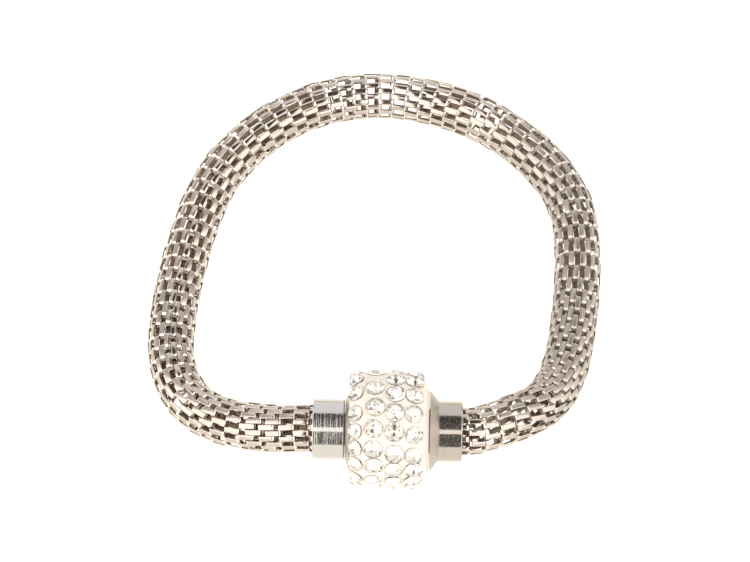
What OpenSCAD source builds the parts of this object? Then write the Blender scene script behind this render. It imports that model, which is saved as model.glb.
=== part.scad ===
/* [Mesh tube] */
// Outside diameter of the woven mesh tube
tube_d = 6.4; // [5.6:0.1:6.6]
// Depth of the woven wall, from the outer plates to the inner crossbars
tube_wall = 0.8; // [0.4:0.1:1]
// Length of the tube that sits inside each cap
tube_seat = 3; // [2:0.1:3.2]

/* [Caps] */
// Outside diameter of both steel caps
cap_d = 8.2; // [7.9:0.1:9]
// Length of the left cap
left_cap_len = 4.3; // [4.2:0.1:6]
// Length of the right cap's straight barrel
right_cap_len = 3.3; // [3.3:0.1:6]
// Depth of the socket in each cap
socket_depth = 3.2; // [3.2:0.1:3.3]
// Clearance all round between the tube and its socket
socket_gap = 0.2; // [0.1:0.05:0.3]
// Width of the small bevel on the caps' edges
edge_bevel = 0.15; // [0.05:0.05:0.3]

/* [Bead] */
// Diameter of the bead over its stones
bead_d = 16; // [14:0.5:18]
// Length of the clay between its two flanges
bead_len = 10.6; // [8:0.1:14]
// Radius of the bead's rounded shoulders
shoulder_r = 2.3; // [1:0.1:2.5]
// Diameter of the steel flanges where they meet the clay
flange_d = 10.8; // [9.4:0.1:11.4]
// Length of the right flange's cone
cone_len = 1.1; // [0.5:0.1:2]
// Thickness of the left flange
rim_len = 0.6; // [0.4:0.1:1]
// Diameter of the steel core inside the clay
core_d = 6; // [5.6:0.1:7]

/* [Magnet] */
// Diameter of the hidden magnet that holds the two halves together
magnet_d = 4.4; // [3:0.1:4.6]
// Length of the magnet
magnet_len = 4; // [2:0.1:5]

/* [Pose] */
// Turn of the clasp about the vertical, in degrees
clasp_turn = -1.3; // [-3:0.1:0]

/* [Hidden] */

// Small gap that separate pieces keep between them
fit_gap = 0.1;
// Straight land left at the outer edge of each flange
flange_land = 0.1;
// How far the magnet stands out of the bead into the left cap
magnet_proud = 0.5;
// Sides of the tube's cross-section, and rings in each stretch of its route
tube_sides = 12;
rings_per_stretch = 3;
// Spacing of the route's points that lie on the clasp's axis
axis_step = 2.5;
$fn = 96;

tube_r = tube_d / 2;
cap_r = cap_d / 2;
socket_r = tube_r + socket_gap;
core_r = core_d / 2;
flange_r = flange_d / 2;
bead_r = bead_d / 2;
magnet_seat_r = magnet_d / 2 + fit_gap;

// Stations along the clasp's axis, from its left end to its right end
clasp_len = left_cap_len + rim_len + bead_len + cone_len + right_cap_len + 3 * fit_gap;
half = clasp_len / 2;
left_face = -half + left_cap_len;
rim_start = left_face + fit_gap;
rim_end = rim_start + rim_len;
bead_start = rim_end + fit_gap;
bead_end = bead_start + bead_len;
cone_start = bead_end + fit_gap;
cone_end = cone_start + cone_len;
magnet_start = left_face - magnet_proud;
magnet_end = magnet_start + magnet_len;

// The bead and the tube both rest on the ground, z = 0. The origin is in the
// middle of the whole bracelet's footprint.
clasp_x = 1.6;
clasp_y = -25.85;
axis_z = bead_r;

// Route of the tube from the left cap, round the back, to the right cap,
// measured from loop_centre. Each row is x, y and lift, which is 0 where the
// tube lies on the ground and 1 at the height of the clasp's axis.
loop_centre = [-0.1, -0.25];
loop = [
    [-16.5, -24.5, 0.65],
    [-24.5, -21, 0.1],
    [-28.5, -13.5, 0],
    [-28, -4.5, 0],
    [-26.5, 4, 0],
    [-24.5, 12.5, 0],
    [-21, 20, 0],
    [-15, 26, 0],
    [-8, 30, 0],
    [0.5, 31.5, 0],
    [8.5, 30, 0],
    [16, 27, 0],
    [22.5, 21.5, 0],
    [27.5, 14.5, 0],
    [28.5, 6.5, 0],
    [28, -2.5, 0],
    [27, -11, 0],
    [24.5, -19, 0.15],
    [19, -23, 0.7],
];

// Point on the clasp's axis at distance s from its middle
function on_axis(s) = [clasp_x + s * cos(clasp_turn), clasp_y + s * sin(clasp_turn), axis_z];

// Point of the loop at its height above the ground
function on_loop(row) = [
    loop_centre.x + row.x, loop_centre.y + row.y, tube_r + row.z * (axis_z - tube_r)
];

// Control points of the whole route, straight where the tube enters a cap
end_s = half - tube_seat;
route = concat(
    [for (k = [-1:2]) on_axis(-end_s - k * axis_step)],
    [for (row = loop) on_loop(row)],
    [for (k = [2:-1:-1]) on_axis(end_s + k * axis_step)]
);

// Smooth curve guided by four control points in turn, and its direction
function curve(p, t) =
    (pow(1 - t, 3) * p[0] + (3 * pow(t, 3) - 6 * t * t + 4) * p[1]
    + (-3 * pow(t, 3) + 3 * t * t + 3 * t + 1) * p[2] + pow(t, 3) * p[3]) / 6;
function heading(p, t) =
    -pow(1 - t, 2) * p[0] + (3 * t * t - 4 * t) * p[1]
    + (-3 * t * t + 2 * t + 1) * p[2] + t * t * p[3];
function unit(v) = v / norm(v);

// Centre and two cross directions of ring i
stretches = len(route) - 3;
ring_count = stretches * rings_per_stretch + 1;
function stretch(i) = min(floor(i / rings_per_stretch), stretches - 1);
function guides(i) = [for (k = [0:3]) route[stretch(i) + k]];
function part_way(i) = i / rings_per_stretch - stretch(i);
function centre(i) = curve(guides(i), part_way(i));
function sideways(i) = unit(cross(heading(guides(i), part_way(i)), [0, 0, 1]));
function upwards(i) = cross(sideways(i), unit(heading(guides(i), part_way(i))));

// All points of one wall of the tube, ring by ring
function wall_points(r) = [
    for (i = [0:ring_count - 1], j = [0:tube_sides - 1])
        let (a = 360 * j / tube_sides)
        centre(i) + r * (cos(a) * sideways(i) + sin(a) * upwards(i))
];

// Index of point j in ring i of the outer wall (w = 0) or the inner wall (w = 1)
function at(w, i, j) = (w * ring_count + i) * tube_sides + j % tube_sides;
last_ring = ring_count - 1;
outer_faces = [
    for (i = [0:last_ring - 1], j = [0:tube_sides - 1])
        each [[at(0, i, j), at(0, i + 1, j), at(0, i + 1, j + 1)],
            [at(0, i, j), at(0, i + 1, j + 1), at(0, i, j + 1)]]
];
inner_faces = [
    for (i = [0:last_ring - 1], j = [0:tube_sides - 1])
        each [[at(1, i, j), at(1, i + 1, j + 1), at(1, i + 1, j)],
            [at(1, i, j), at(1, i, j + 1), at(1, i + 1, j + 1)]]
];
start_faces = [
    for (j = [0:tube_sides - 1])
        each [[at(0, 0, j), at(0, 0, j + 1), at(1, 0, j + 1)],
            [at(0, 0, j), at(1, 0, j + 1), at(1, 0, j)]]
];
end_faces = [
    for (j = [0:tube_sides - 1])
        each [[at(0, last_ring, j), at(1, last_ring, j + 1), at(0, last_ring, j + 1)],
            [at(0, last_ring, j), at(1, last_ring, j), at(1, last_ring, j + 1)]]
];

// Turns a profile of radius against distance along the clasp's axis
module turned() {
    translate([clasp_x, clasp_y, axis_z])
        rotate([0, 90, clasp_turn])
            rotate_extrude()
                children();
}

// Hollow tube of woven steel mesh, along its whole route
module mesh_tube() {
    color("#bfb6a8")
        polyhedron(
            points = concat(wall_points(tube_r), wall_points(tube_r - tube_wall)),
            faces = concat(outer_faces, inner_faces, start_faces, end_faces)
        );
}

// Free half of the clasp: a turned cup, with a shallow seat for the magnet
module left_cap() {
    socket_floor = -half + socket_depth;
    seat_floor = magnet_start - fit_gap;
    color("#b9b7b2")
        turned()
            polygon([
                [socket_r, -half],
                [cap_r - edge_bevel, -half],
                [cap_r, -half + edge_bevel],
                [cap_r, left_face - edge_bevel],
                [cap_r - edge_bevel, left_face],
                [magnet_seat_r, left_face],
                [magnet_seat_r, seat_floor],
                [0, seat_floor],
                [0, socket_floor],
                [socket_r, socket_floor],
            ]);
}

// Bevelled ring that closes the left side of the bead
module left_flange() {
    color("#c4c1bb")
        turned()
            polygon([
                [core_r + fit_gap, rim_start],
                [cap_r, rim_start],
                [flange_r, rim_end - flange_land],
                [flange_r, rim_end],
                [core_r + fit_gap, rim_end],
            ]);
}

// Clay barrel paved with stones, as one solid over the stones
module paved_bead() {
    bore_r = core_r + fit_gap;
    color("#efe6da")
        turned()
            union() {
                translate([bore_r, bead_start])
                    square([bead_r - shoulder_r - bore_r, bead_len]);
                translate([bore_r, bead_start + shoulder_r])
                    square([bead_r - bore_r, bead_len - 2 * shoulder_r]);
                for (s = [bead_start + shoulder_r, bead_end - shoulder_r])
                    translate([bead_r - shoulder_r, s])
                        circle(shoulder_r);
            }
}

// Bead half of the clasp: core, cone flange and cup turned from one bar
module right_cap() {
    socket_floor = half - socket_depth;
    seat_floor = magnet_end + fit_gap;
    color("#b9b7b2")
        turned()
            polygon([
                [magnet_seat_r, rim_start],
                [core_r, rim_start],
                [core_r, cone_start],
                [flange_r, cone_start],
                [flange_r, cone_start + flange_land],
                [cap_r, cone_end],
                [cap_r, half - edge_bevel],
                [cap_r - edge_bevel, half],
                [socket_r, half],
                [socket_r, socket_floor],
                [0, socket_floor],
                [0, seat_floor],
                [magnet_seat_r, seat_floor],
            ]);
}

// Hidden magnet that bridges the two halves
module clasp_magnet() {
    color("#5a5a5c")
        turned()
            translate([0, magnet_start])
                square([magnet_d / 2, magnet_len]);
}

mesh_tube();
left_cap();
left_flange();
paved_bead();
right_cap();
clasp_magnet();
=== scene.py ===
import math

import bpy
import numpy as np
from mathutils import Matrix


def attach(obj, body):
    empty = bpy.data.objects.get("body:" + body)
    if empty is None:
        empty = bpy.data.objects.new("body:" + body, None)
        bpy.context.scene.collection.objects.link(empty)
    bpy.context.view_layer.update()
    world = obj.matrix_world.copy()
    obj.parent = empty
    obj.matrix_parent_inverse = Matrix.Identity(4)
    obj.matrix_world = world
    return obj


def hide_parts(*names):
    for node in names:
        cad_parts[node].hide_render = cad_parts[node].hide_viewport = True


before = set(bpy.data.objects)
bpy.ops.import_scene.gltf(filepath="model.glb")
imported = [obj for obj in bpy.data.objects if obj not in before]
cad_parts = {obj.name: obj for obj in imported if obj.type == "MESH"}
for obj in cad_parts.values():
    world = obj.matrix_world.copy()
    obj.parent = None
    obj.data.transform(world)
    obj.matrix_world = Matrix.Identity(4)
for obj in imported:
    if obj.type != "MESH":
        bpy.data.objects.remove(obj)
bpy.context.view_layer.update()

MM = 0.001
scene = bpy.context.scene
# Draws for the weave's leans and tones and for the stones
rng = np.random.default_rng(7)
# Draws for how far each plate stands out
uneven = np.random.default_rng(11)

# Sizes in millimetres, the same as in the part's source
TUBE_R = 3.2
BEAD_R = 8.0
AXIS_Z = 8.0
CLASP_X = 1.6
CLASP_Y = -25.85
CLASP_TURN = math.radians(-1.3)
HALF = 10.1
TUBE_SEAT = 3.0
AXIS_STEP = 2.5
BEAD_START = -5.0
BEAD_END = 5.6
SHOULDER_R = 2.3
BORE_R = 3.1
LOOP_CENTRE = (-0.1, -0.25)
LOOP = [
    (-16.5, -24.5, 0.65), (-24.5, -21, 0.1), (-28.5, -13.5, 0), (-28, -4.5, 0),
    (-26.5, 4, 0), (-24.5, 12.5, 0), (-21, 20, 0), (-15, 26, 0), (-8, 30, 0),
    (0.5, 31.5, 0), (8.5, 30, 0), (16, 27, 0), (22.5, 21.5, 0), (27.5, 14.5, 0),
    (28.5, 6.5, 0), (28, -2.5, 0), (27, -11, 0), (24.5, -19, 0.15), (19, -23, 0.7),
]

# Camera, at the photograph's angle
AIM = (-0.1, -0.25, 4.0)
ELEVATION = math.radians(60)
DISTANCE = 600
MM_PER_PIXEL = 0.139
IMAGE_W = 750
SENSOR = 36
CLIP_START, CLIP_END = 0.01, 100
TO_CAMERA = np.array([0, -math.cos(ELEVATION), math.sin(ELEVATION)])


def make_camera():
    data = bpy.data.cameras.new("camera")
    data.sensor_width = SENSOR
    data.lens = DISTANCE / MM_PER_PIXEL * SENSOR / IMAGE_W
    data.clip_start = CLIP_START
    data.clip_end = CLIP_END
    camera = bpy.data.objects.new("camera", data)
    camera.location = [float(a + DISTANCE * d) * MM for a, d in zip(AIM, TO_CAMERA)]
    camera.rotation_euler = (math.pi / 2 - ELEVATION, 0, 0)
    scene.collection.objects.link(camera)
    scene.camera = camera


# Small helpers
def unit(v):
    return v / np.linalg.norm(v)


def square_to(v, axis):
    """The part of v that is square to the unit vector axis, as a unit vector."""
    return unit(v - v.dot(axis) * axis)


def limited(value, low, high):
    return min(max(value, low), high)


def add_object(name, mesh):
    obj = bpy.data.objects.new(name, mesh)
    scene.collection.objects.link(obj)
    return obj


# Node helpers
class Nodes:
    def __init__(self, tree):
        self.tree = tree
        tree.nodes.clear()

    def new(self, kind, **values):
        node = self.tree.nodes.new(kind)
        for key, value in values.items():
            setattr(node, key, value)
        return node

    def link(self, a, b):
        self.tree.links.new(a, b)

    def put(self, socket, value):
        if isinstance(value, bpy.types.NodeSocket):
            self.link(value, socket)
        elif value is not None:
            socket.default_value = value

    def place(self):
        """Place on the object, which doesn't move with the view."""
        return self.new("ShaderNodeTexCoord").outputs["Object"]

    def attribute(self, name):
        return self.new("ShaderNodeAttribute", attribute_name=name).outputs["Fac"]

    def math(self, op, a, b=None):
        node = self.new("ShaderNodeMath", operation=op)
        self.put(node.inputs[0], a)
        self.put(node.inputs[1], b)
        return node.outputs[0]

    def smooth(self, value, start, end, low=0.0, high=1.0):
        node = self.new("ShaderNodeMapRange", interpolation_type="SMOOTHSTEP")
        self.put(node.inputs["Value"], value)
        node.inputs["From Min"].default_value = start
        node.inputs["From Max"].default_value = end
        node.inputs["To Min"].default_value = low
        node.inputs["To Max"].default_value = high
        return node.outputs["Result"]

    def band(self, value, low0, low1, high0, high1):
        """Rises from low0 to low1, stays at 1, and falls from high0 to high1."""
        down = self.math("SUBTRACT", 1.0, self.smooth(value, high0, high1))
        return self.math("MULTIPLY", self.smooth(value, low0, low1), down)

    def mix(self, factor, a, b):
        node = self.new("ShaderNodeMix", data_type="RGBA")
        self.put(node.inputs[0], factor)
        self.put(node.inputs[6], a)
        self.put(node.inputs[7], b)
        return node.outputs[2]

    def noise(self, vector, scale, detail=2.0, rough=0.5):
        node = self.new("ShaderNodeTexNoise")
        self.put(node.inputs["Vector"], vector)
        node.inputs["Scale"].default_value = scale
        node.inputs["Detail"].default_value = detail
        node.inputs["Roughness"].default_value = rough
        return node.outputs["Fac"]

    def vector_math(self, op, a, b):
        node = self.new("ShaderNodeVectorMath", operation=op)
        self.put(node.inputs[0], a)
        self.put(node.inputs[1], b)
        return node.outputs["Value" if op == "DOT_PRODUCT" else "Vector"]

    def bump(self, height, strength, distance):
        node = self.new("ShaderNodeBump")
        node.inputs["Strength"].default_value = strength
        node.inputs["Distance"].default_value = distance
        self.put(node.inputs["Height"], height)
        return node.outputs["Normal"]


def material(name):
    mat = bpy.data.materials.new(name)
    mat.use_nodes = True
    nodes = Nodes(mat.node_tree)
    shader = nodes.new("ShaderNodeBsdfPrincipled")
    out = nodes.new("ShaderNodeOutputMaterial")
    nodes.link(shader.outputs[0], out.inputs["Surface"])
    return mat, nodes, shader


# World: a light tent with a dark slot in it, on the side of the camera. The
# steel mirrors the slot as its dark bands. The light line crosses the slot.
TENT_FRONT = (2.3, 2.2, 2.05, 1)
TENT_REAR = (0.80, 0.79, 0.77, 1)
REAR_PANEL = (1.2, 1.2, 1.22, 1)
SLOT_LOW = (0.17, 0.165, 0.16, 1)
SLOT_HIGH = (0.10, 0.095, 0.09, 1)
LIGHT_LINE = (2.0, 1.95, 1.87, 1)
# Turns are angles in degrees from the front horizon, over the zenith, to the
# back horizon, and sides are the x of a direction
SLOT_TURNS = (-8, 2, 120, 128)
SLOT_LOW_SIDES = (-0.22, -0.12, 0.12, 0.24)
SLOT_HIGH_SIDES = (-0.18, -0.08, 0.34, 0.46)
SLOT_WIDENS = (50, 72)
SLOT_DARKENS = (56, 116)
LINE_TURNS = (50.5, 53.5, 66, 69)
LINE_SIDES = (0.08, 0.16)
PANEL_TURNS = (112, 128)
PANEL_SIDES = (0.25, 0.45)
FRONT_TO_REAR = (0.05, 0.40)


def make_world():
    world = bpy.data.worlds.new("tent")
    scene.world = world
    world.use_nodes = True
    n = Nodes(world.node_tree)
    out = n.new("ShaderNodeOutputWorld")
    back = n.new("ShaderNodeBackground")
    n.link(back.outputs[0], out.inputs["Surface"])
    split = n.new("ShaderNodeSeparateXYZ")
    n.link(n.new("ShaderNodeTexCoord").outputs["Generated"], split.inputs[0])
    x, y, z = split.outputs
    turn = n.math("ARCTAN2", z, n.math("MULTIPLY", y, -1.0))
    turn = n.math("MULTIPLY", turn, 180 / math.pi)
    side = n.math("ABSOLUTE", x)
    # The slot is wider on the right, above the light line
    above = n.smooth(turn, *SLOT_WIDENS)
    high = n.math("MULTIPLY", n.band(x, *SLOT_HIGH_SIDES), above)
    low = n.math("MULTIPLY", n.band(x, *SLOT_LOW_SIDES), n.math("SUBTRACT", 1.0, above))
    slot = n.math("MULTIPLY", n.math("ADD", high, low), n.band(turn, *SLOT_TURNS))
    line = n.math("MULTIPLY", n.smooth(side, *LINE_SIDES, 1, 0), n.band(turn, *LINE_TURNS))
    panel = n.math("MULTIPLY", n.smooth(turn, *PANEL_TURNS), n.smooth(side, *PANEL_SIDES, 1, 0))
    # The tent is bright in front, on both sides of the slot, and duller behind
    colour = n.mix(n.smooth(y, *FRONT_TO_REAR), TENT_FRONT, TENT_REAR)
    colour = n.mix(panel, colour, REAR_PANEL)
    colour = n.mix(slot, colour, n.mix(n.smooth(turn, *SLOT_DARKENS), SLOT_LOW, SLOT_HIGH))
    colour = n.mix(line, colour, LIGHT_LINE)
    n.link(colour, back.inputs["Color"])
    back.inputs["Strength"].default_value = 1.0


# The floor is white paper, lit partly by its own light
FLOOR_HALF = 3.0
FLOOR_COLOUR = (0.30, 0.30, 0.30, 1)
FLOOR_ROUGHNESS = 0.9
FLOOR_GLOW = (1.0, 0.955, 0.86, 1)
FLOOR_GLOW_STRENGTH = 1.05


def make_floor():
    mesh = bpy.data.meshes.new("floor")
    s = FLOOR_HALF
    mesh.from_pydata([(-s, -s, 0), (s, -s, 0), (s, s, 0), (-s, s, 0)], [], [(0, 1, 2, 3)])
    floor = add_object("floor", mesh)
    mat, _, shader = material("floor_paper")
    shader.inputs["Base Color"].default_value = FLOOR_COLOUR
    shader.inputs["Roughness"].default_value = FLOOR_ROUGHNESS
    shader.inputs["Specular IOR Level"].default_value = 0.0
    shader.inputs["Emission Color"].default_value = FLOOR_GLOW
    shader.inputs["Emission Strength"].default_value = FLOOR_GLOW_STRENGTH
    mesh.materials.append(mat)


# Route of the tube, as a smooth curve through its guides
PER_STRETCH = 60
# Distances over which its direction and its bend are measured
HEADING_REACH = 0.3
BEND_REACH = 1.5


def on_axis(s):
    return np.array([
        CLASP_X + s * math.cos(CLASP_TURN), CLASP_Y + s * math.sin(CLASP_TURN), AXIS_Z,
    ])


def route_points():
    end_s = HALF - TUBE_SEAT
    pts = [on_axis(-end_s - k * AXIS_STEP) for k in (-1, 0, 1, 2)]
    for x, y, lift in LOOP:
        pts.append(np.array([
            LOOP_CENTRE[0] + x, LOOP_CENTRE[1] + y, TUBE_R + lift * (AXIS_Z - TUBE_R),
        ]))
    pts += [on_axis(end_s + k * AXIS_STEP) for k in (2, 1, 0, -1)]
    return np.array(pts)


def sample_route():
    p = route_points()
    points = []
    for i in range(len(p) - 3):
        last = i == len(p) - 4
        t = np.linspace(0, 1, PER_STRETCH + last, endpoint=last)[:, None]
        a, b, c, d = p[i:i + 4]
        points.append((
            (1 - t) ** 3 * a + (3 * t ** 3 - 6 * t ** 2 + 4) * b
            + (-3 * t ** 3 + 3 * t ** 2 + 3 * t + 1) * c + t ** 3 * d
        ) / 6)
    return np.concatenate(points)


class Route:
    def __init__(self):
        self.p = sample_route()
        step = np.linalg.norm(np.diff(self.p, axis=0), axis=1)
        self.s = np.concatenate([[0], np.cumsum(step)])
        self.length = self.s[-1]

    def at(self, s):
        return np.array([np.interp(s, self.s, self.p[:, k]) for k in range(3)]).T

    def frame(self, s):
        """Centre at distance s, and the directions ahead, to the side and up."""
        d = HEADING_REACH
        ahead = unit(self.at(min(s + d, self.length)) - self.at(max(s - d, 0)))
        side = unit(np.cross(ahead, (0, 0, 1.0)))
        return self.at(s), ahead, side, np.cross(side, ahead)

    def bend(self, s):
        """Change of direction for each millimetre at distance s."""
        start = max(s - BEND_REACH, HEADING_REACH)
        end = min(s + BEND_REACH, self.length - HEADING_REACH)
        return (self.frame(end)[1] - self.frame(start)[1]) / (end - start)


# Woven links. Each ring of the mesh is one strip that runs round the tube in
# steps: twelve plates along the tube, joined in turn at one end and the other
# by a crossbar that passes under the neighbouring ring's plate.
COLUMNS = 24
COLUMN_ANGLE = 2 * math.pi / COLUMNS
PLATE_W = 0.76
PLATE_T = 0.20
PLATE_L = 2.36
# Least gap that plates of one column keep, end to end
PLATE_GAP = 0.1
# Outer radius of a plate's bent ends, and how far its legs reach inwards
BEND_R = 0.42
LEG_DEPTH = 0.80
BEND_ANGLES = (90, 67.5, 45, 22.5, 0)
BAR_W = 0.34
BAR_STEPS = 4
# Radii of the rounded edges of plates and bars, and the angle from which an
# edge is shaded as sharp
EDGE_R = 0.09
BAR_EDGE_R = 0.05
LINK_SHARP = math.radians(50)
# Spread of how far a plate stands out, a ring leans and a plate sits askew
PROUD = 0.05
RING_LEAN = math.radians(0.8)
ASKEW = math.radians(1.3)
ASKEW_MOST = 0.05
# Room for the plates of the rings at either end of the tube
FREE_END = 9
# How dark the painted shade on the outer side of a bar is, where a plate's inner side is 1
BAR_PAINTED_SHADE = 0.45
MESH_PIECES = 4
# Middle of each ring, in millimetres along the tube from the left cap's mouth.
# Rings sit closer together and farther apart as the mesh was pushed or pulled.
# RINGS and TWIST weren't charted by hand alone. Most of their numbers are another
# program's fit to the photo, rounded and typed in, and some were changed later.
RINGS = [
    -1.8, -0.85, 1.25, 2.9, 4.65, 5.6, 7.3, 8.3, 10.3, 12.3, 14.1, 15.6, 17.25, 18.9,
    20.8, 22.8, 24.8, 26.45, 27.95, 29.75, 31.65, 33.05, 34.9, 36.7, 38.55, 40.4,
    42.5, 44.65, 46.6, 48.8, 50.95, 53.05, 55.1, 57.0, 59.0, 61.05, 63.15, 65.35,
    67.45, 69.5, 71.55, 73.7, 75.7, 77.75, 79.75, 81.7, 83.65, 85.65, 87.7, 89.75,
    91.75, 93.8, 95.8, 97.8, 100.05, 102.15, 104.3, 106.45, 108.6, 110.8, 112.9,
    114.9, 116.85, 118.75, 120.8, 122.7, 125.0, 127.1, 129.4, 131.6, 133.6,
    135.3, 136.65, 138.2, 139.65, 141.15, 142.6, 144.15, 145.75, 147.1, 148.45,
    149.7, 150.95, 152.5, 154.25, 156.3, 158.55, 160.85, 163.0, 164.7, 166.25, 167.5,
]
# Turn of the columns of plates about the tube, in degrees, at the same distances
TWIST = [
    (-3, -6), (1, -5), (4, -2.5), (8, -0.7), (10, 2), (12, 2.3), (15, 1.7), (18, -1),
    (21, -1.2), (24, -3), (27, -7), (30, -8), (34, -12), (36.5, -16), (39, -19),
    (42, -21), (46, -21.5), (50, -24), (54, -26.5), (58, -30), (62, -33.5), (66, -35.5),
    (70, -37.5), (74, -40.5), (78, -44), (82, -48), (86, -49.5), (90, -49.7), (94, -53),
    (98, -54), (103, -58.5), (107, -62), (112, -61.5), (118, -61.5), (122, -64), (126, -64),
    (130, -62.5), (134, -67.5), (138, -70), (143, -74), (146, -76.5), (149, -82.5),
    (152.5, -87), (154.3, -92.5), (156.5, -100), (158.7, -105.5), (161, -109.5),
    (163, -112), (165, -116.5), (169, -121),
]

# On the side that faces away the weave is turned, in degrees, and its rings lean,
# in millimetres, at these distances. Most rows are another program's best match
# for the light in the photo's openings, typed in, merged and in part changed.
FAR_SIDE = [
    (1.4, -9, 0.8), (6.2, -9, 1.0), (8.5, -9, 0.75), (10.6, -9, 0.5), (12.7, -9, 0.5),
    (14.7, -12, 0.5), (16.8, -12, 0.5), (18, -18, 0.5), (19.9, -20, 0.4), (21.8, -10, 0.4),
    (23, -9, 0.4), (25, -12, 0.45), (27, -17, 0.5), (29, -20, 0.5), (33, -20, 0.5),
    (35, -18, 0.3), (37, -15, 0.3), (39, -12, 0.4), (41, -7, 0.3), (43, -6, 0.25),
    (52, -6, 0.25), (54, -6, 0.1), (55.5, -6, 0), (57.5, -9, 0), (63.5, -9, 0),
    (65.3, -12, -0.1), (67, -12, -0.5), (69, -12, -0.75), (70.8, -12, -0.75), (72.4, -9, -1),
    (76, -9, -1), (77.8, -6, -0.9), (79.4, 0, -0.5), (81.2, 3, -0.5), (84.8, 3, -0.6),
    (86.4, 3, -0.7), (88.2, 0, 0), (90, 0, 0), (92, 0, -0.25), (93.7, 0, -0.5),
    (96, 0, -0.6), (97.9, 0, -0.6), (99.8, 0, -0.3), (101.1, 0, 0.3), (102.7, 3, 0.6),
    (104.5, 8, 0.6), (105.4, 12, 0.6), (106.1, -15, 0.75), (108.1, -15, 0.75), (110, -12, 0.5),
    (111.8, -9, 0.25), (113.7, -6, 0.25), (115.4, -2, -0.1), (116.4, 2, -0.2), (117.2, 5, -0.2),
    (118, -8, -0.25), (118.9, -12, -0.3), (120.9, -9, -0.25), (122.8, -3, -0.5),
    (124.8, 0, -0.5), (126.7, 0, -0.5), (128.7, 3, -0.5), (130.6, 6, -0.5), (132.5, 9, -0.5),
    (140, 9, -0.5), (142, 9, -0.75), (144, 9, -0.75), (145.7, 9, -0.5), (149.4, 9, 0),
    (151.2, 6, 0), (153.2, 3, 0), (155.5, -3, -0.35), (157.8, -3, -0.7), (160.3, 3, -0.9),
    (162.8, 6, -0.7), (165, 9, -0.4),
]

# How dull the weave is at these distances, from mirror bright to satin
DULL = [(-3, 0.0), (96, 0.0), (108, 1.0), (158, 1.0), (164, 0.0)]
# Angles from the camera's side at which the far side's table starts to count,
# and counts in full
FAR_START, FAR_FULL = 60, 120


def read_table(table, s):
    """Values of the table's rows at distance s of the route."""
    rows = np.array(table)
    return [float(np.interp(s - TUBE_SEAT, rows[:, 0], column)) for column in rows.T[1:]]


def twist_at(s):
    return math.radians(read_table(TWIST, s)[0])


def far_side(s, away):
    """Turn and shift of a plate, from how far it faces away from the camera."""
    part = limited((away - FAR_START) / (FAR_FULL - FAR_START), 0, 1)
    part = part * part * (3 - 2 * part)
    turn, shift = read_table(FAR_SIDE, s)
    return math.radians(turn) * part, shift * part


def rounded_section(w, t, r, steps):
    """Outline of a rounded rectangle, with so many steps in each corner."""
    out = []
    for cx, cy, a0 in ((w / 2 - r, t / 2 - r, 0), (-w / 2 + r, t / 2 - r, 90),
                       (-w / 2 + r, -t / 2 + r, 180), (w / 2 - r, -t / 2 + r, 270)):
        for k in range(steps + 1):
            a = math.radians(a0 + 90 * k / steps)
            out.append((cx + r * math.cos(a), cy + r * math.sin(a)))
    return np.array(out)


SECTION = rounded_section(PLATE_W, PLATE_T, EDGE_R, 2)
BAR_SECTION = rounded_section(PLATE_T, BAR_W, BAR_EDGE_R, 1)


def sweep_faces(rings, sides):
    faces = []
    for i in range(rings - 1):
        for j in range(sides):
            k = (j + 1) % sides
            faces.append((i * sides + j, i * sides + k, (i + 1) * sides + k, (i + 1) * sides + j))
    return faces


class Builder:
    """Gathers plates and bars into one mesh, with numbers for the material."""

    def __init__(self):
        self.verts = []
        self.quads = []
        self.caps = []
        self.values = {"tone": [], "inner": [], "dull": [], "bent": []}

    def add(self, verts, quads, caps, **values):
        first = len(self.verts)
        self.verts += verts
        self.quads += [tuple(v + first for v in f) for f in quads]
        self.caps += [tuple(v + first for v in f) for f in caps]
        for name, value in values.items():
            self.values[name] += value if isinstance(value, list) else [value] * len(verts)

    def mesh(self, name):
        mesh = bpy.data.meshes.new(name)
        mesh.from_pydata((np.array(self.verts) * MM).tolist(), [], self.quads + self.caps)
        mesh.update()
        for key, value in self.values.items():
            layer = mesh.attributes.new(key, "FLOAT", "POINT")
            layer.data.foreach_set("value", np.array(value, np.float32))
        mesh.shade_smooth()
        mesh.set_sharp_from_angle(angle=LINK_SHARP)
        return mesh



def plate_path(length):
    """Middle line of a plate and its legs: place along, height and tilt."""
    h = length / 2 - PLATE_T / 2
    r = BEND_R - PLATE_T / 2
    near = [(-h, -LEG_DEPTH, 90)]
    for a in BEND_ANGLES:
        c = math.radians(a)
        near.append((-h + r - r * math.sin(c), -PLATE_T / 2 - r + r * math.cos(c), a))
    return near + [(-along, high, -a) for along, high, a in reversed(near)]


def add_plate(b, origin, ahead, out, length, tone, dull):
    across = np.cross(out, ahead)
    path = plate_path(length)
    verts = []
    for along, high, a in path:
        c = math.radians(a)
        normal = math.cos(c) * out - math.sin(c) * ahead
        base = origin + along * ahead + high * out
        verts += [base + u * across + w * normal for u, w in SECTION]
    n = len(SECTION)
    caps = [tuple(range(n))[::-1], tuple(range(n * (len(path) - 1), n * len(path)))]
    # The side that faces inwards gets painted shade, darker and browner than the outside
    inner = [1.0 if w < 0 else 0.0 for _ in path for _, w in SECTION]
    # The bent ends get a painted highlight
    bent = [0.0 if a == 0 else 1.0 for _, _, a in path for _ in SECTION]
    b.add(verts, sweep_faces(len(path), n), caps, tone=tone, dull=dull, inner=inner, bent=bent)


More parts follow.
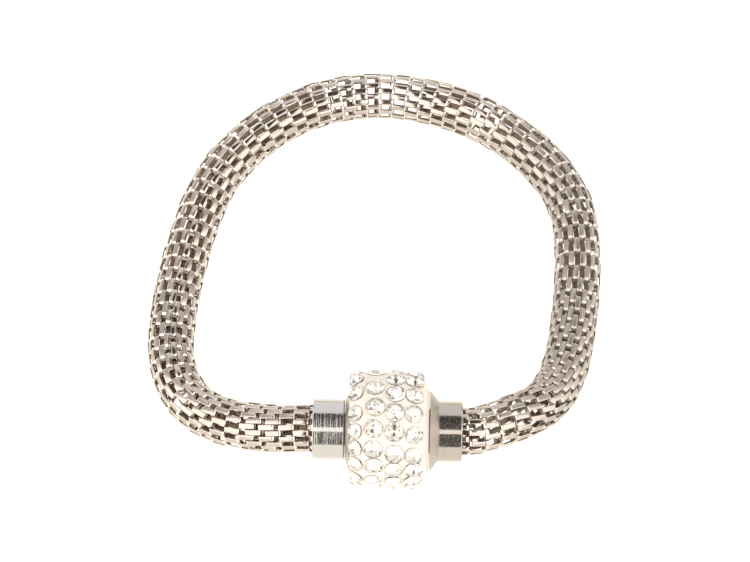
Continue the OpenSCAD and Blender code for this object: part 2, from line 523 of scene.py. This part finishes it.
def add_bar(b, centre, ahead, side, up, turns, ends, tone, dull):
    """Crossbar from one turn and place along the tube to another."""
    verts = []
    radius = TUBE_R - LEG_DEPTH + BAR_W / 2
    for k in range(BAR_STEPS + 1):
        part = k / BAR_STEPS
        a = turns[0] + (turns[1] - turns[0]) * part
        along = ends[0] + (ends[1] - ends[0]) * part
        out = math.cos(a) * side + math.sin(a) * up
        base = centre + along * ahead + radius * out
        verts += [base + u * ahead + w * out for u, w in BAR_SECTION]
    n = len(BAR_SECTION)
    caps = [tuple(range(n)), tuple(range(n * BAR_STEPS, n * (BAR_STEPS + 1)))[::-1]]
    quads = [f[::-1] for f in sweep_faces(BAR_STEPS + 1, n)]
    # Painted shade: in full on the bar's inner side, in part on its outer side
    inner = [1.0 if w < 0 else BAR_PAINTED_SHADE for _ in range(BAR_STEPS + 1) for _, w in BAR_SECTION]
    b.add(verts, quads, caps, tone=tone, dull=dull, inner=inner, bent=0.0)


def add_ring(b, route, stations, i):
    s = stations[i]
    centre, ahead, side, up = route.frame(s)
    facing = math.atan2(TO_CAMERA.dot(up), TO_CAMERA.dot(side))
    # A ring leans a little on its own
    lean = rng.normal(0, RING_LEAN, 2).clip(-2 * RING_LEAN, 2 * RING_LEAN)
    ahead = unit(ahead + lean[0] * side + lean[1] * up)
    side = square_to(side, ahead)
    up = np.cross(side, ahead)
    # The plates of every other ring lie in one column, end to end
    before = s - stations[i - 2] if i > 1 else FREE_END
    after = stations[i + 2] - s if i + 2 < len(stations) else FREE_END
    bend = route.bend(s)
    twist = twist_at(s)
    slope = (twist_at(s + 1) - twist_at(s - 1)) / 2
    dull = read_table(DULL, s)[0]
    plates = []
    for k in range(COLUMNS // 2):
        a = math.pi / 2 + (2 * k + (i + 1) % 2) * COLUMN_ANGLE + twist
        away = abs(math.degrees(math.remainder(a - facing, 2 * math.pi)))
        extra, shift = far_side(s, away)
        a += extra
        out = math.cos(a) * side + math.sin(a) * up
        round_dir = -math.sin(a) * side + math.cos(a) * up
        room = min(before, after) * (1 - TUBE_R * bend.dot(out))
        length = min(PLATE_L, room - PLATE_GAP)
        tone = rng.random()
        plates.append((a, length, tone, shift))
        # Each plate is set a little askew, and follows its column's twist
        roll, nod = rng.normal(0, ASKEW, 2).clip(-ASKEW_MOST, ASKEW_MOST)
        proud = limited(uneven.normal(0, PROUD), -2 * PROUD, 2 * PROUD)
        middle = centre + shift * ahead + (TUBE_R + proud) * out
        out = unit(out + roll * round_dir + nod * ahead)
        along = square_to(ahead + TUBE_R * slope * round_dir, out)
        add_plate(b, middle, along, out, length, tone, dull)
    for k, (a, length, tone, shift) in enumerate(plates):
        next_a, next_length, _, next_shift = plates[(k + 1) % len(plates)]
        next_a = a + math.remainder(next_a - a, 2 * math.pi)
        # The bars join the plates in turn at their far and near ends
        end = 1 if k % 2 == 0 else -1
        ends = [end * (v / 2 - PLATE_T / 2) for v in (length, next_length)]
        turns = [a + slope * ends[0], next_a + slope * ends[1]]
        ends = [ends[0] + shift, ends[1] + next_shift]
        add_bar(b, centre, ahead, side, up, turns, ends, tone, dull)


def make_mesh_tube():
    route = Route()
    stations = np.array(RINGS) + TUBE_SEAT
    per_piece = math.ceil(len(stations) / MESH_PIECES)
    steel = woven_steel()
    for piece in range(MESH_PIECES):
        builder = Builder()
        for i in range(piece * per_piece, min((piece + 1) * per_piece, len(stations))):
            add_ring(builder, route, stations, i)
        name = "mesh_links_%d" % (piece + 1)
        mesh = builder.mesh(name)
        mesh.materials.append(steel)
        obj = add_object(name, mesh)
        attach(obj, "root")
        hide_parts("mesh_tube")


# Colours of the woven steel: plates from dark to light, a painted highlight on their bent ends,
# painted shade on the side that faces inwards, and steel that has gone dull
PLATE_DARK = (0.455, 0.399, 0.36, 1)
PLATE_LIGHT = (0.56, 0.495, 0.45, 1)
BENT_PAINTED_HIGHLIGHT = (0.76, 0.69, 0.635, 1)
INNER_PAINTED_SHADE = (0.25, 0.19, 0.135, 1)
WORN_COLOUR = (0.38, 0.34, 0.31, 1)
WORN_SHARE = 0.35
# Roughness of the smoothest and roughest plates, and what else adds to it
LINK_ROUGHNESS = (0.08, 0.15)
INNER_ROUGHNESS = 0.2
BENT_ROUGHNESS = 0.12
DULL_ROUGHNESS = 0.22
# Fineness of its clouds, its patches of polish and its grain
LINK_CLOUDS, LINK_PATCHES, LINK_GRAIN = 900, 2500, 9000
LINK_BUMP, LINK_BUMP_HEIGHT = 0.12, 0.00002
# The middle part of a noise's values, which is stretched to its full range
NOISE_MIDDLE = (0.3, 0.7)


def woven_steel():
    mat, n, shader = material("woven_steel")
    place = n.place()
    inner, bent, dull = (n.attribute(name) for name in ("inner", "bent", "dull"))
    shade = n.math("ADD", n.math("MULTIPLY", n.attribute("tone"), 0.5),
                   n.math("MULTIPLY", n.noise(place, LINK_CLOUDS, 3), 0.5))
    colour = n.mix(shade, PLATE_DARK, PLATE_LIGHT)
    # Painted highlight on the bent ends
    colour = n.mix(bent, colour, BENT_PAINTED_HIGHLIGHT)
    # Painted shade on the side that faces inwards
    colour = n.mix(inner, colour, INNER_PAINTED_SHADE)
    colour = n.mix(n.math("MULTIPLY", dull, WORN_SHARE), colour, WORN_COLOUR)
    n.link(colour, shader.inputs["Base Color"])
    shader.inputs["Metallic"].default_value = 1.0
    rough = n.smooth(n.noise(place, LINK_PATCHES, 3), *NOISE_MIDDLE, *LINK_ROUGHNESS)
    for part, more in ((inner, INNER_ROUGHNESS), (bent, BENT_ROUGHNESS), (dull, DULL_ROUGHNESS)):
        rough = n.math("ADD", rough, n.math("MULTIPLY", part, more))
    n.link(rough, shader.inputs["Roughness"])
    n.link(n.bump(n.noise(place, LINK_GRAIN, 2), LINK_BUMP, LINK_BUMP_HEIGHT),
           shader.inputs["Normal"])
    return mat


# Turned steel of the caps and the flange. Fine grooves run round each part, a
# little uneven from side to side, and specks lie between them.
GROOVES, SPECKS = 4200, 6000
GROOVE_DRIFT = (0.02, 0.02, 0.02)
GROOVE_SHARE = 0.6
SPECK_RANGE = (0.55, 0.75)
SPECK_ROUGHNESS = 0.06
TONE_SPREAD = 0.14
STEEL_BUMP_HEIGHT = 0.00001
POLISHED, SATIN = 0.07, 0.34
# Stretch of the clasp's axis where the satin cone turns into the right barrel
CONE_TO_BARREL = (6.8, 7.2)


def turned_steel(name, groove_depth, speck_depth, tint, rough, cone=False):
    mat, n, shader = material(name)
    place = n.place()
    axis = (math.cos(CLASP_TURN), math.sin(CLASP_TURN), 0)
    along = n.vector_math("DOT_PRODUCT", place, axis)
    if cone:
        middle = CLASP_X * axis[0] + CLASP_Y * axis[1]
        zone = [(middle + v) * MM for v in CONE_TO_BARREL]
        rough = n.smooth(along, *zone, SATIN, rough)
        speck_depth = n.smooth(along, *zone, 0, speck_depth)
    combine = n.new("ShaderNodeCombineXYZ")
    n.link(along, combine.inputs[0])
    drift = n.vector_math("MULTIPLY", place, GROOVE_DRIFT)
    grooves = n.noise(n.vector_math("ADD", combine.outputs[0], drift), GROOVES, 2, 0.5)
    specks = n.noise(place, SPECKS, 2, 0.6)
    shade = n.math("ADD", n.math("MULTIPLY", grooves, GROOVE_SHARE),
                   n.math("MULTIPLY", specks, 1 - GROOVE_SHARE))
    dark, light = (tuple(c * (1 + side * TONE_SPREAD) for c in tint) + (1,) for side in (-1, 1))
    n.link(n.mix(shade, dark, light), shader.inputs["Base Color"])
    shader.inputs["Metallic"].default_value = 1.0
    uneven_polish = n.smooth(specks, *NOISE_MIDDLE, 0, SPECK_ROUGHNESS)
    n.link(n.math("ADD", uneven_polish, rough), shader.inputs["Roughness"])
    height = n.math("ADD", n.math("MULTIPLY", grooves, groove_depth),
                    n.math("MULTIPLY", n.smooth(specks, *SPECK_RANGE), speck_depth))
    n.link(n.bump(height, 1.0, STEEL_BUMP_HEIGHT), shader.inputs["Normal"])
    return mat


# Directions on the clasp: along its axis, towards the camera, and over the top
CLASP_MIDDLE = np.array([CLASP_X, CLASP_Y, AXIS_Z])
AHEAD = np.array([math.cos(CLASP_TURN), math.sin(CLASP_TURN), 0])
FRONT = np.array([math.sin(CLASP_TURN), -math.cos(CLASP_TURN), 0])
UP = np.array([0, 0, 1.0])
FACE = math.cos(ELEVATION) * FRONT + math.sin(ELEVATION) * UP
OVER = -math.sin(ELEVATION) * FRONT + math.cos(ELEVATION) * UP


def outwards(a):
    """Direction from the clasp's axis, turned by a from the camera's side."""
    return math.cos(a) * FACE - math.sin(a) * OVER


# Stones: rows by place along the axis and stone radius, each with its stones'
# angles round the bead from the side that faces the camera, negative upwards
# in the image
STONES_SEEN = [
    (-4.55, 1.12, (-65, -43, -19.5, -0.5, 18.5, 38, 59.5)),
    (-1.75, 1.28, (-82, -50, -26, -3.5, 18.5, 38.5, 62)),
    (0.97, 1.31, (-86, -63.5, -42, -21, 0, 23.5, 43.5, 64)),
    (3.75, 1.25, (-61, -40, -19, 3, 25, 43.5, 62)),
]
# Usual angle from one stone to the next, on the side that isn't seen
STONE_TURN = 21.5
# Spread of the unseen stones' angles, and of all places and radii
TURN_SPREAD, PLACE_SPREAD, RADIUS_SPREAD = 0.6, 0.06, 0.02
# Depth of the clay and of the stones' tops under the CAD's surface
CLAY_INSET = 0.51
STONE_TOP = 0.02
# How far the bead bulges on its upper back
SWELL = 0.25
# The clay's left shoulder stands this much over the flange
OVERHANG = 0.5
SHOULDERS = (BEAD_START - OVERHANG + SHOULDER_R, BEAD_END - SHOULDER_R)
CORNER_R = BEAD_R - SHOULDER_R


def stone_places():
    out = []
    for s, radius, seen in STONES_SEEN:
        angles = list(seen)
        # The rest of the row is spaced evenly round the hidden side
        hidden = seen[0] + 360 - seen[-1]
        count = round(hidden / STONE_TURN) - 1
        step = hidden / (count + 1)
        for k in range(count):
            angles.append(seen[-1] + step * (k + 1) + rng.normal(0, TURN_SPREAD))
        for a in angles:
            place = s + rng.normal(0, PLACE_SPREAD)
            out.append((place, math.radians(a), radius + rng.normal(0, RADIUS_SPREAD)))
    return out


def swell(a):
    """How far the bead bulges beyond round, on its upper back."""
    return SWELL * max(0.0, -math.sin(a))


def profile_point(s, inset):
    """Radius, outward tilt and place of the bead's surface at s, set in by inset."""
    corner = limited(s, *SHOULDERS)
    tilt = math.asin(limited((s - corner) / SHOULDER_R, -1, 1))
    r = SHOULDER_R - inset
    return CORNER_R + r * math.cos(tilt), tilt, corner + r * math.sin(tilt)


# A cut stone has rings of corners. Each has its radius and height as shares of
# the stone's radius, its number of corners, and its turn in steps.
STONE_RINGS = [
    (0.50, 0, 8, 0), (0.78, -0.17, 8, 0.5), (1.0, -0.34, 16, 0), (1.0, -0.40, 16, 0),
    (0.58, -0.74, 8, 0.5), (0.0, -1.18, 1, 0),
]
STONE_LEAN = math.radians(2.5)
CLEAR, FOIL, BARE_FOIL = 0, 1, 2
# Share of pale facets under the girdle, from the outer to the inner ones; pale facets get the
# foil with a faint painted glow
PALE_SHARES = (0.7, 0.7, 0.6, 0.45)


def stone_corners(s, a, radius):
    reach, tilt, s_at = profile_point(s, STONE_TOP - swell(a))
    top = CLASP_MIDDLE + s_at * AHEAD + reach * outwards(a)
    out = math.cos(tilt) * outwards(a) + math.sin(tilt) * AHEAD
    along = math.cos(tilt) * AHEAD - math.sin(tilt) * outwards(a)
    across = np.cross(out, along)
    lean = rng.normal(0, STONE_LEAN, 2)
    out = unit(out + lean[0] * along + lean[1] * across)
    along = square_to(along, out)
    across = np.cross(out, along)
    spin = rng.random() * math.pi / 4
    corners, rings = [], []
    for share, height, count, offset in STONE_RINGS:
        rings.append(list(range(len(corners), len(corners) + count)))
        for k in range(count):
            b = spin + 2 * math.pi * (k + offset) / count
            corner = share * radius * (math.cos(b) * along + math.sin(b) * across)
            corners.append(top + corner + height * radius * out)
    return corners, rings


def stone_facets(rings):
    """Facets of one stone, each with its material."""
    table, crown, girdle, girdle_low, low, (tip,) = rings
    facets = [(table, CLEAR)]
    for k in range(8):
        k2 = (k + 1) % 8
        left, middle, right = girdle[2 * k], girdle[2 * k + 1], girdle[(2 * k + 2) % 16]
        for facet in ((table[k2], table[k], crown[k]), (table[k2], crown[k], right, crown[k2]),
                      (crown[k], left, middle), (crown[k], middle, right)):
            facets.append((facet, CLEAR))
    for k in range(16):
        k2 = (k + 1) % 16
        facets.append(((girdle[k2], girdle[k], girdle_low[k], girdle_low[k2]), FOIL))
    for k in range(8):
        k2 = (k + 1) % 8
        left, middle = girdle_low[2 * k], girdle_low[2 * k + 1]
        right = girdle_low[(2 * k + 2) % 16]
        lower = ((middle, low[k], left), (right, low[k], middle), (low[k2], low[k], right),
                 (low[k2], tip, low[k]))
        for facet, share in zip(lower, PALE_SHARES):
            facets.append((facet, FOIL if rng.random() < share else BARE_FOIL))
    return facets


def make_stones(places):
    verts, faces, mats = [], [], []
    for s, a, radius in places:
        corners, rings = stone_corners(s, a, radius)
        for facet, mat in stone_facets(rings):
            faces.append([len(verts) + v for v in facet])
            mats.append(mat)
        verts += corners
    mesh = bpy.data.meshes.new("stones")
    mesh.from_pydata([tuple(v * MM) for v in verts], [], faces)
    mesh.update()
    mesh.materials.append(crystal())
    # The pale foil glows a little: painted light that lifts the stones' dark reflections
    mesh.materials.append(foil("stone_foil", metallic=0.65, rough=0.16, painted_glow=0.06))
    mesh.materials.append(foil("stone_foil_bare", metallic=1.0, rough=0.05, painted_glow=0.0))
    mesh.polygons.foreach_set("material_index", mats)
    obj = add_object("stones", mesh)
    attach(obj, "root")
    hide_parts("paved_bead")


CRYSTAL_IOR = 1.56
CRYSTAL_ROUGHNESS = (0.0, 0.03)
FOIL_CLOUDS = 3000
FOIL_DARK = (0.86, 0.82, 0.76, 1)
FOIL_LIGHT = (0.97, 0.95, 0.92, 1)
# Colour of the foil's painted glow
FOIL_PAINTED_GLOW = (1.0, 0.97, 0.93, 1)


def crystal():
    mat, n, shader = material("clear_crystal")
    shader.inputs["Base Color"].default_value = (1, 1, 1, 1)
    shader.inputs["Transmission Weight"].default_value = 1.0
    shader.inputs["IOR"].default_value = CRYSTAL_IOR
    cloud = n.noise(n.place(), FOIL_CLOUDS, 2)
    n.link(n.smooth(cloud, *NOISE_MIDDLE, *CRYSTAL_ROUGHNESS), shader.inputs["Roughness"])
    return mat


def foil(name, metallic, rough, painted_glow):
    mat, n, shader = material(name)
    cloud = n.noise(n.place(), FOIL_CLOUDS, 2)
    n.link(n.mix(cloud, FOIL_DARK, FOIL_LIGHT), shader.inputs["Base Color"])
    shader.inputs["Metallic"].default_value = metallic
    shader.inputs["Roughness"].default_value = rough
    # Emission here is painted light, not a lamp
    shader.inputs["Emission Color"].default_value = FOIL_PAINTED_GLOW
    shader.inputs["Emission Strength"].default_value = painted_glow
    return mat


# Clay barrel
CLAY_DARK = (0.735, 0.665, 0.605, 1)
CLAY_LIGHT = (0.82, 0.76, 0.71, 1)
CLAY_ROUGHNESS = 0.5
CLAY_CLOUDS, CLAY_GRAIN = 1200, 5000
CLAY_BUMP, CLAY_BUMP_HEIGHT = 0.4, 0.00004
CLAY_SUBSURFACE, CLAY_SUBSURFACE_SCALE = 0.25, 0.0008
CLAY_SUBSURFACE_RADIUS = (1.0, 0.75, 0.5)
CLAY_SHARP = math.radians(60)
# Steps round the barrel, in each shoulder and between the shoulders
AROUND, SHOULDER_STEPS, BARREL_STEPS = 300, 18, 36
# Width of the flat step at each end face, and how many points at each end of
# the profile stay as they are
FACE_STEP = 0.4
FIXED = 2
# The hollow under a stone: its depth at the edge, how much deeper it is at the
# middle, and how soft its edge is, as a share of the stone's radius
HOLLOW_EDGE, HOLLOW_DEPTH, HOLLOW_SOFT = 0.10, 1.6875, 0.04
# The rim round a stone: its height, and its place and width as shares of the
# stone's radius
RIM_HEIGHT, RIM_PLACE, RIM_WIDTH = 0.06, 1.10, 0.08


def clay():
    mat, n, shader = material("cream_clay")
    place = n.place()
    n.link(n.mix(n.noise(place, CLAY_CLOUDS, 4), CLAY_DARK, CLAY_LIGHT),
           shader.inputs["Base Color"])
    shader.inputs["Roughness"].default_value = CLAY_ROUGHNESS
    shader.inputs["Subsurface Weight"].default_value = CLAY_SUBSURFACE
    shader.inputs["Subsurface Scale"].default_value = CLAY_SUBSURFACE_SCALE
    shader.inputs["Subsurface Radius"].default_value = CLAY_SUBSURFACE_RADIUS
    n.link(n.bump(n.noise(place, CLAY_GRAIN, 4, 0.6), CLAY_BUMP, CLAY_BUMP_HEIGHT),
           shader.inputs["Normal"])
    return mat


def clay_profile():
    """Points from the left bore edge, over the barrel, to the right bore edge."""
    low, high = SHOULDERS
    r = SHOULDER_R - CLAY_INSET
    prof = [(BORE_R, BEAD_START), (CORNER_R - FACE_STEP, BEAD_START), (CORNER_R, BEAD_START)]
    for k in range(1, SHOULDER_STEPS + 1):
        a = math.radians(-90 + 90 * k / SHOULDER_STEPS)
        prof.append((CORNER_R + r * math.cos(a), low + r * math.sin(a)))
    for k in range(1, BARREL_STEPS):
        prof.append((BEAD_R - CLAY_INSET, low + (high - low) * k / BARREL_STEPS))
    for k in range(SHOULDER_STEPS + 1):
        a = math.radians(90 * k / SHOULDER_STEPS)
        prof.append((CORNER_R + r * math.cos(a), high + r * math.sin(a)))
    prof += [(CORNER_R - FACE_STEP, BEAD_END), (BORE_R, BEAD_END)]
    return np.array(prof)


def make_clay(places):
    prof = clay_profile()
    tangent = np.gradient(prof, axis=0)
    tangent /= np.linalg.norm(tangent, axis=1)[:, None]
    normal = np.stack([tangent[:, 1], -tangent[:, 0]], 1)
    centres = []
    for s, a, _ in places:
        reach, _, s_at = profile_point(s, CLAY_INSET - swell(a))
        centres.append(CLASP_MIDDLE + s_at * AHEAD + reach * outwards(a))
    centres = np.array(centres)
    radii = np.array([radius for _, _, radius in places])
    verts = []
    for k in range(AROUND):
        a = 2 * math.pi * k / AROUND
        base = CLASP_MIDDLE + prof[:, 1:2] * AHEAD + prof[:, 0:1] * outwards(a)
        out = normal[:, 1:2] * AHEAD + normal[:, 0:1] * outwards(a)
        base[FIXED:-FIXED] += swell(a) * out[FIXED:-FIXED]
        near = (np.linalg.norm(base[:, None] - centres, axis=2) / radii).min(1)
        # The clay swells a little round each stone, and is hollow under it
        rim = RIM_HEIGHT * np.exp(-((near - RIM_PLACE) / RIM_WIDTH) ** 2)
        hollow = HOLLOW_EDGE + HOLLOW_DEPTH * (1 - near)
        lift = rim - hollow * np.clip((1.0 - near) / HOLLOW_SOFT, 0, 1)
        lift[:FIXED] = 0
        lift[-FIXED:] = 0
        verts.append(base + out * lift[:, None])
    m = len(prof)
    faces = []
    for k in range(AROUND):
        first, second = k * m, (k + 1) % AROUND * m
        for j in range(m - 1):
            faces.append((first + j, first + j + 1, second + j + 1, second + j))
        faces.append((first + m - 1, first, second, second + m - 1))
    mesh = bpy.data.meshes.new("clay_barrel")
    mesh.from_pydata((np.concatenate(verts) * MM).tolist(), [], faces)
    mesh.update()
    mesh.shade_smooth()
    mesh.set_sharp_from_angle(angle=CLAY_SHARP)
    mesh.materials.append(clay())
    obj = add_object("clay_barrel", mesh)
    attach(obj, "root")
    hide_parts("paved_bead")


# Materials of the CAD nodes that stay
LEFT_CAP_TINT = (0.54, 0.525, 0.50)
FLANGE_TINT = (0.50, 0.46, 0.42)
RIGHT_CAP_TINT = (0.45, 0.405, 0.357)
MAGNET_DARK = (0.14, 0.14, 0.15, 1)
MAGNET_LIGHT = (0.20, 0.20, 0.21, 1)
MAGNET_CLOUDS = 2000
MAGNET_ROUGHNESS = 0.4


def magnet():
    mat, n, shader = material("dark_magnet")
    n.link(n.mix(n.noise(n.place(), MAGNET_CLOUDS, 3), MAGNET_DARK, MAGNET_LIGHT),
           shader.inputs["Base Color"])
    shader.inputs["Metallic"].default_value = 1.0
    shader.inputs["Roughness"].default_value = MAGNET_ROUGHNESS
    return mat


def finish_cad():
    mats = {
        "left_cap": turned_steel(
            "turned_steel_left", groove_depth=3.5, speck_depth=0.5,
            tint=LEFT_CAP_TINT, rough=POLISHED),
        "left_flange": turned_steel(
            "turned_steel_flange", groove_depth=1.0, speck_depth=0.3,
            tint=FLANGE_TINT, rough=SATIN),
        "right_cap": turned_steel(
            "turned_steel_right", groove_depth=0.5, speck_depth=0.45,
            tint=RIGHT_CAP_TINT, rough=POLISHED, cone=True),
        "clasp_magnet": magnet(),
    }
    for name, mat in mats.items():
        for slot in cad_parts[name].material_slots:
            slot.material = mat


make_camera()
make_world()
make_floor()
make_mesh_tube()
places = stone_places()
make_clay(places)
make_stones(places)
finish_cad()
scene.view_settings.view_transform = "Standard"
